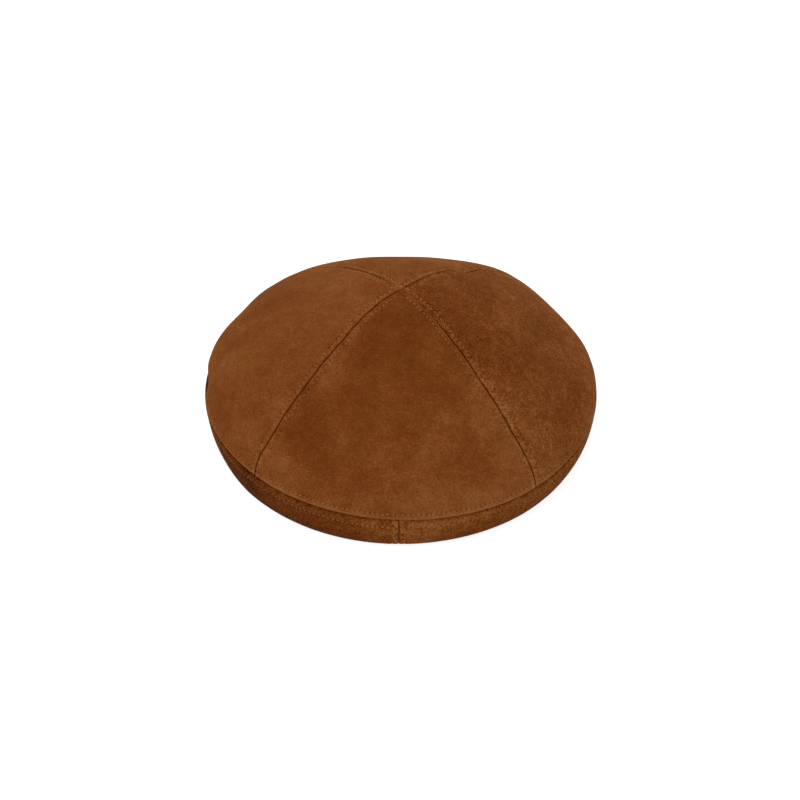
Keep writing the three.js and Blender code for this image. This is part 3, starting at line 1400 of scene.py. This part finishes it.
@dataclass
class Topstitching:
    """The thread of all the topstitched rows.

    Attributes:
        length: Length of a stitch that shows, in mm.
        width: Width of the thread, in mm.
        height: Height of the thread above the skin, in mm.
        apex_clear: Distance from the apex at which the gores' rows start, in mm.
        rim_clear: Distance from the rim's edge at which they end, in mm.
        band_clear: Distance from the rim's edge at which the under panel's rows start, in mm.
        hem_clear: Distance from the hem at which they end, in mm.
        cross_clear: How far a row round the beret keeps from a seam, as a share of a stitch.
        probe: Length over which the skin's directions are read, in mm.
        lean: How far a stitch leans out of line at most.
        spread: Shortest and longest stitch, as shares of the length.
        lift: Height of a stitch's middle above the skin, in mm.
        facets: Facets round a stitch and along it.
        seed: Start of the random draws.
        draws: The random draws.
    """

    length: float = 2.6
    width: float = 0.5
    height: float = 0.42
    apex_clear: float = 6.0
    rim_clear: float = 3.0
    band_clear: float = 4.0
    hem_clear: float = 5.0
    cross_clear: float = 0.2
    probe: float = 0.4
    lean: float = 0.08
    spread: tuple[float, float] = (0.9, 1.05)
    lift: float = 0.08
    facets: tuple[int, int] = (8, 5)
    seed: int = 7
    draws: random.Random = field(init=False)

    def __post_init__(self) -> None:
        """Start the random draws."""
        self.draws = random.Random(self.seed)

    def build(self, crown: Crown, under: UnderPanel) -> list[bpy.types.Object]:
        """Build every row.

        Args:
            crown: The crown that is sewn.
            under: The under panel that is sewn.

        Returns:
            The pieces of thread, one to a group of rows.
        """
        gores, halves = crown.skins(), under.skins()
        crown_rim_run = CROWN_MERIDIAN.length - CROWN_RIM.stitch_run
        groups = {
            "thread_crown_seams": (self.seam_rows(gores, self.apex_clear, self.rim_clear), True),
            "thread_crown_rim": (self.round_rows(gores, crown_rim_run), False),
            "thread_under_rim": (self.round_rows(halves, UNDER_RIM.stitch_run), False),
            "thread_under_seams": (self.seam_rows(halves, self.band_clear, HEM_WIDTH + self.hem_clear), True),
            "thread_hem": (self.round_rows(halves, HEM_STITCH_RUN), False),
        }
        crown_thread, rim_thread = CROWN_THREAD.material(), RIM_THREAD.material()
        return [
            self.sew(name, rows, downwards, crown_thread if name == "thread_crown_seams" else rim_thread)
            for name, (rows, downwards) in groups.items()
        ]

    def seam_rows(self, skins: list[PanelSkin], start_clear: float, end_clear: float) -> list[StitchRow]:
        """Set out the rows that run down both sides of the seams between skins.

        Args:
            skins: The skins.
            start_clear: Distance from their start at which the rows start, in mm.
            end_clear: Distance from their end at which the rows end, in mm.

        Returns:
            The rows.
        """
        rows = []
        for skin in skins:
            first = math.ceil(start_clear / STITCH_PITCH)
            last = math.floor((skin.meridian.length - end_clear) / STITCH_PITCH)
            run = (np.arange(first, last) + 0.5) * STITCH_PITCH
            for side in Side:
                rows.append(StitchRow(skin, run, side, np.full_like(run, skin.profile.stitch_offset)))
        return rows

    def round_rows(self, skins: list[PanelSkin], run: float) -> list[StitchRow]:
        """Set out the rows that run round the beret.

        Args:
            skins: The skins that they are sewn through.
            run: Their distance down the skins, in mm.

        Returns:
            The rows, two to a skin.
        """
        rows = []
        count = rim_stitch_count()
        for skin in skins:
            station = skin.meridian.at(np.array([run]))
            middle, half = skin.span(station)
            first = math.ceil(float(middle[0] - half[0]) * count / (2 * math.pi) + self.cross_clear)
            last = math.floor(float(middle[0] + half[0]) * count / (2 * math.pi) - self.cross_clear)
            turn = (np.arange(first, last) + 0.5) * 2 * math.pi / count
            across = (turn - middle[0]) / half[0]
            distance = (1.0 - np.abs(across)) * half[0] * station.reach[0]
            for side in Side:
                kept = np.sign(across) == side.value
                rows.append(StitchRow(skin, np.full(kept.sum(), run), side, distance[kept]))
        return rows

    def sew(
        self, name: str, rows: list[StitchRow], downwards: bool, finish: bpy.types.Material
    ) -> bpy.types.Object:
        """Join the stitches of rows into one piece of thread.

        Args:
            name: The piece's name.
            rows: The rows.
            downwards: Whether they run down the skin and not round it.
            finish: Material of the thread.

        Returns:
            The piece.
        """
        thread = bmesh.new()
        thread.loops.layers.uv.new("UVMap")
        for row in rows:
            middle = row.point(0.0, 0.0)
            down, aside = row.point(self.probe, 0.0), row.point(0.0, self.probe)
            for centre, along, beside in zip(middle, down - middle, aside - middle):
                tangent, lateral = (along, beside) if downwards else (beside, along)
                ways = (Vector(tangent).normalized(), Vector(lateral).normalized())
                self.stitch(thread, Vector(centre), *ways)
        for face in thread.faces:
            face.smooth = True
        mesh = bpy.data.meshes.new(name)
        thread.to_mesh(mesh)
        thread.free()
        mesh.materials.append(finish)
        piece = bpy.data.objects.new(name, mesh)
        bpy.context.collection.objects.link(piece)
        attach(piece, BODY)
        return piece

    def stitch(self, thread: bmesh.types.BMesh, centre: Vector, tangent: Vector, lateral: Vector) -> None:
        """Add one stitch, a bead of thread that dips into the suede at both ends.

        Args:
            thread: The mesh that it is added to.
            centre: Its middle on the skin, in mm.
            tangent: The way that it runs.
            lateral: The way across it, along the skin.
        """
        normal = tangent.cross(lateral).normalized()
        if normal.dot(Vector((centre.x, centre.y, centre.z - RIM_HEIGHT))) < 0:
            normal = -normal
        tangent = (tangent + lateral * self.draws.uniform(-self.lean, self.lean)).normalized()
        across = normal.cross(tangent)
        length = self.length * self.draws.uniform(*self.spread)
        axes = Matrix((across * self.width / 2, normal * self.height / 2, tangent * length / 2)).transposed()
        place = Matrix.Translation((centre + normal * self.lift) * MM) @ (axes * MM).to_4x4()
        around, along = self.facets
        bmesh.ops.create_uvsphere(
            thread, u_segments=around, v_segments=along, radius=1.0, matrix=place, calc_uvs=True
        )


@dataclass(frozen=True)
class Lamp:
    """A soft square lamp.

    Attributes:
        name: Its name.
        place: Where it hangs, in metres.
        size: Its side, in metres.
        power: Its power, in watts.
    """

    name: str
    place: Point
    size: float
    power: float

    def hang(self, aim: Point) -> None:
        """Hang the lamp so that it faces a point.

        Args:
            aim: The point, in metres.
        """
        light = bpy.data.lights.new(self.name, "AREA")
        light.size = self.size
        light.energy = self.power
        lamp = bpy.data.objects.new(self.name, light)
        lamp.location = self.place
        lamp.rotation_euler = (Vector(aim) - Vector(self.place)).to_track_quat("-Z", "Y").to_euler()
        bpy.context.collection.objects.link(lamp)


WHITE = (1.0, 1.0, 1.0, 1.0)


@dataclass
class Studio:
    """Floor, light and camera.

    Attributes:
        elevation: The camera's angle above level, in degrees.
        distance: Its distance, in metres.
        lens: Its focal length, in mm.
        sensor: Width of its sensor, in mm.
        aim: The point that it looks at, in metres.
        sky: Strength of the white surroundings.
        lamps: The lamps.
        lamp_aim: The point that they face, in metres.
        floor_reach: Distance from the middle of the floor to its edges, in metres.
        floor_colour: Colour of the floor.
        floor_roughness: Its roughness.
        floor_glow: Strength of its own light, which keeps its shadow faint.
    """

    elevation: float = 40.75
    distance: float = 1.62
    lens: float = 105.48
    sensor: float = 36.0
    aim: Point = (-0.00035, -0.00595, 0.0199)
    sky: float = 1.25
    lamps: tuple[Lamp, ...] = (
        Lamp("key", (-1.1, -0.9, 1.9), 1.6, 16.0),
        Lamp("back", (-0.3, 1.6, 1.5), 1.4, 8.0),
    )
    lamp_aim: Point = (0.0, 0.0, 0.05)
    floor_reach: float = 4.0
    floor_colour: Rgb = (0.4, 0.4, 0.4)
    floor_roughness: float = 0.9
    floor_glow: float = 0.72

    def build(self) -> None:
        """Build the floor, the lights and the camera."""
        self.floor()
        self.surroundings()
        for lamp in self.lamps:
            lamp.hang(self.lamp_aim)
        self.camera()

    def floor(self) -> None:
        """Lay the plain pale floor."""
        sheet = bmesh.new()
        bmesh.ops.create_grid(sheet, x_segments=1, y_segments=1, size=self.floor_reach)
        mesh = bpy.data.meshes.new("floor")
        sheet.to_mesh(mesh)
        sheet.free()
        graph = Graph("pale_floor")
        graph.surface(
            Base_Color=(*self.floor_colour, 1.0),
            Roughness=self.floor_roughness,
            Specular_IOR_Level=0.0,
            Emission_Color=WHITE,
            Emission_Strength=self.floor_glow,
        )
        mesh.materials.append(graph.material)
        floor = bpy.data.objects.new("floor", mesh)
        bpy.context.collection.objects.link(floor)

    def surroundings(self) -> None:
        """Light the scene evenly from all round, and show colours as they are."""
        world = bpy.data.worlds.new("studio")
        world.use_nodes = True
        background = world.node_tree.nodes["Background"]
        background.inputs["Color"].default_value = WHITE
        background.inputs["Strength"].default_value = self.sky
        bpy.context.scene.world = world
        bpy.context.scene.view_settings.view_transform = "Standard"

    def camera(self) -> None:
        """Set up the camera at the photograph's angle."""
        data = bpy.data.cameras.new("camera")
        data.lens = self.lens
        data.sensor_width = self.sensor
        camera = bpy.data.objects.new("camera", data)
        tilt = math.radians(self.elevation)
        back = Vector((0.0, -math.cos(tilt), math.sin(tilt)))
        camera.location = Vector(self.aim) + back * self.distance
        camera.rotation_euler = (-back).to_track_quat("-Z", "Y").to_euler()
        bpy.context.collection.objects.link(camera)
        bpy.context.scene.camera = camera


CROWN_SUEDE = SuedeFinish(
    name="crown_suede",
    deepest=(0.0225, 0.0022, 0.0002),
    deep=(0.0440, 0.0066, 0.0005),
    body=(0.1075, 0.0283, 0.0045),
    rubbed=(0.1920, 0.0730, 0.0220),
    cloud=0.34,
    mottle=0.19,
    nap=0.44,
    sheen=0.07,
    wear_and_highlight=0.14,
    groove=0.46,
    seam_offset=CROWN_PROFILE.stitch_offset,
    rim_offset=CROWN_RIM.stitch_run,
)
UNDER_SUEDE = SuedeFinish(
    name="under_suede",
    deepest=(0.0220, 0.0023, 0.0002),
    deep=(0.0430, 0.0066, 0.0005),
    body=(0.1090, 0.0275, 0.0038),
    rubbed=(0.1950, 0.0710, 0.0190),
    cloud=0.24,
    mottle=0.22,
    nap=0.56,
    sheen=0.04,
    wear_and_highlight=0.12,
    groove=0.30,
    seam_offset=UNDER_PROFILE.stitch_offset,
    rim_offset=UNDER_RIM.stitch_run,
)
FLESH_SIDE = FleshFinish("flesh_side", dark=(0.085, 0.036, 0.014), light=(0.20, 0.098, 0.043))
CROWN_THREAD = ThreadFinish("crown_thread", dark=(0.105, 0.033, 0.006), light=(0.300, 0.125, 0.036), apex=0.6)
RIM_THREAD = ThreadFinish("rim_thread", dark=(0.120, 0.039, 0.008), light=(0.400, 0.180, 0.060), front=0.18)


def main() -> None:
    """Build the beret and its studio, and report each piece."""
    logging.basicConfig(level=logging.INFO, format="%(name)s: %(message)s")
    flesh = FLESH_SIDE.material()
    crown, under = Crown(), UnderPanel()
    pieces = crown.build(CROWN_SUEDE.material(), flesh)
    pieces += under.build(UNDER_SUEDE.material(), flesh)
    pieces += Topstitching().build(crown, under)
    for piece in pieces:
        LOG.info("%s: %d faces", piece.name, len(piece.data.polygons))
    Studio().build()


if __name__ == "__main__":
    main()
